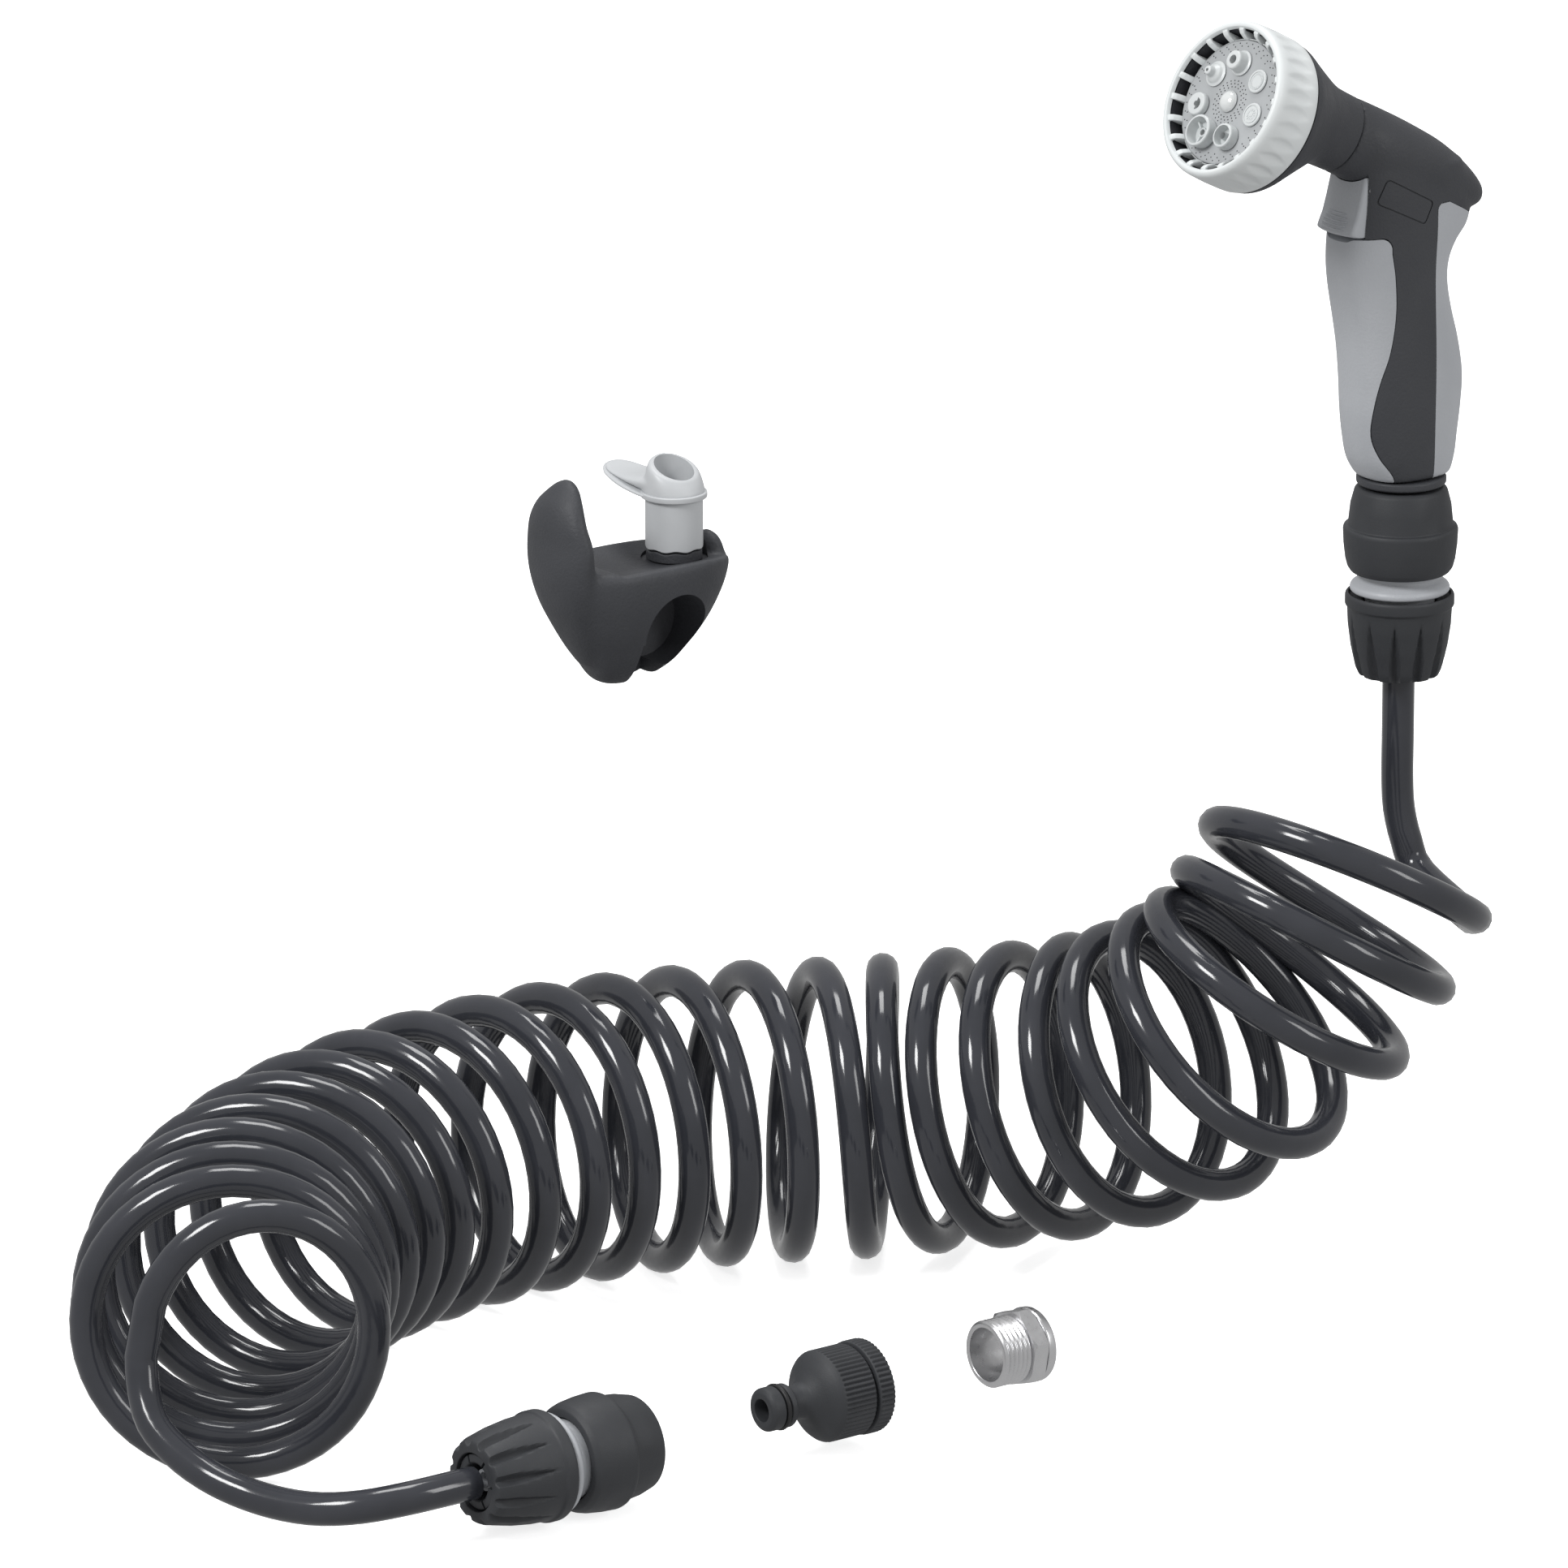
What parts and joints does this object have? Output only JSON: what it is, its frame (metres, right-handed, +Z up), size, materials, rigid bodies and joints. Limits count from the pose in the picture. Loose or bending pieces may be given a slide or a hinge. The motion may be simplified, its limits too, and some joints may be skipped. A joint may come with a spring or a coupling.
{
  "type": "handheld bath sprayer",
  "caption": "Pistol-grip pet bath sprayer with a turning multi-pattern head, quick-connect spiral hose, tap connector, tap adapter and wall holder.",
  "frame": {"origin": "middle of the grip on the inlet axis, where a hand holds the sprayer", "axes": "+Z up along the inlet axis, from the hose connector to the head; -Y forward, the way the nozzle points (it also rises 27.2 degrees); +X to the sprayer's left"},
  "size_m": [0.2593, 0.5221, 0.4265],
  "materials": {
    "dark_plastic": "fine satin grain",
    "connector_dark": "smooth satin",
    "grey_plastic": "satin light grey",
    "pale_plastic": "satin off-white",
    "face_grey": "satin",
    "nozzle_plastic": "semi-gloss",
    "hose_black": "glossy extruded hose",
    "seal_rubber": "moulded",
    "steel": "bright drawn",
    "brass": "turned",
    "silver_metal": "satin plated"
  },
  "bodies": {
    "gun": {"gun_body": "dark_plastic", "front_grip_shell": "grey_plastic", "rear_grip_insert": "grey_plastic", "trigger_pin": "steel", "valve_spring": "steel", "head_bell": "dark_plastic", "centre_screw": "nozzle_plastic", "outlet_plate": "dark_plastic", "outlet_gasket": "seal_rubber", "outlet_duct": "dark_plastic", "detent_pin": "steel", "inlet_nipple": "dark_plastic", "inlet_oring": "seal_rubber", "gun_connector_core": "grey_plastic", "gun_connector_nut": "connector_dark", "gun_connector_claws": "connector_dark", "gun_connector_latch": "steel", "gun_connector_seal": "seal_rubber", "gun_connector_spring": "steel", "hose_lead_gun": "hose_black", "hose_coil": "hose_black", "hose_lead_tap": "hose_black", "tap_connector_core": "grey_plastic", "tap_connector_nut": "connector_dark", "tap_connector_claws": "connector_dark", "tap_connector_latch": "steel", "tap_connector_seal": "seal_rubber", "tap_connector_spring": "steel"},
    "trigger": {"trigger": "grey_plastic"},
    "valve": {"valve_stem": "brass", "valve_seal": "seal_rubber"},
    "spray_head": {"spray_ring": "pale_plastic", "face_disc": "face_grey", "nozzle_jet": "nozzle_plastic", "nozzle_fine": "nozzle_plastic", "nozzle_fan": "nozzle_plastic", "nozzle_cup": "nozzle_plastic", "nozzle_cone": "nozzle_plastic", "nozzle_rosette": "nozzle_plastic", "nozzle_petals": "nozzle_plastic"},
    "gun_sleeve": {"gun_connector_sleeve": "connector_dark"},
    "tap_sleeve": {"tap_connector_sleeve": "connector_dark"},
    "tap_nipple": {"tap_nipple_body": "connector_dark", "tap_nipple_oring": "seal_rubber", "tap_nipple_washer": "seal_rubber", "tap_reducer_ring": "connector_dark"},
    "adapter": {"thread_adapter": "silver_metal", "adapter_washer": "seal_rubber"},
    "holder": {"holder_body": "dark_plastic", "holder_ratchet_ring": "dark_plastic", "holder_bolt": "steel"},
    "holder_latch": {"holder_latch": "grey_plastic"}
  },
  "joints": [
    {"name": "trigger_pull", "type": "hinge", "parent": "gun", "child": "trigger", "pos_m": [0, -0.0216, 0.0566], "axis": [1, 0, 0], "range_deg": [0, 9], "stiffness_Nm_per_rad": 0.6, "springref_deg": -5.73},
    {"name": "valve_travel", "type": "slide", "parent": "gun", "child": "valve", "axis": [0, -0.8894, 0.4571], "range_m": [0, 0.00165], "deforming": ["valve_spring"]},
    {"name": "head_turn", "type": "hinge", "parent": "gun", "child": "spray_head", "pos_m": [0, -0.06144, 0.08558], "axis": [0, -0.8894, 0.4571], "continuous": true},
    {"name": "gun_sleeve_pull", "type": "slide", "parent": "gun", "child": "gun_sleeve", "axis": [0, 0, -1], "range_m": [0, 0.003], "stiffness_N_per_m": 1500, "springref_m": -0.004},
    {"name": "tap_sleeve_pull", "type": "slide", "parent": "gun", "child": "tap_sleeve", "axis": [0, -1, 0], "range_m": [0, 0.003], "stiffness_N_per_m": 1500, "springref_m": -0.004},
    {"name": "tap_nipple_plug", "type": "slide", "parent": "gun", "child": "tap_nipple", "axis": [0, -1, 0], "range_m": [0, 0.065]},
    {"name": "adapter_thread", "type": "slide", "parent": "tap_nipple", "child": "adapter", "axis": [0, -1, 0], "range_m": [0, 0.057]},
    {"name": "holder_lift", "type": "slide", "parent": "gun", "child": "holder", "axis": [0, 0, 1], "range_m": [0, 0.06]},
    {"name": "holder_swivel", "type": "hinge", "parent": "holder", "child": "holder_latch", "pos_m": [-0.15, -0.1835, -0.06], "axis": [0, 0, 1], "range_deg": [-90, 90]}
  ],
  "couplings": [
    {"joint": "valve_travel", "follows": "trigger_pull", "m_per_rad": 0.0102}
  ]
}
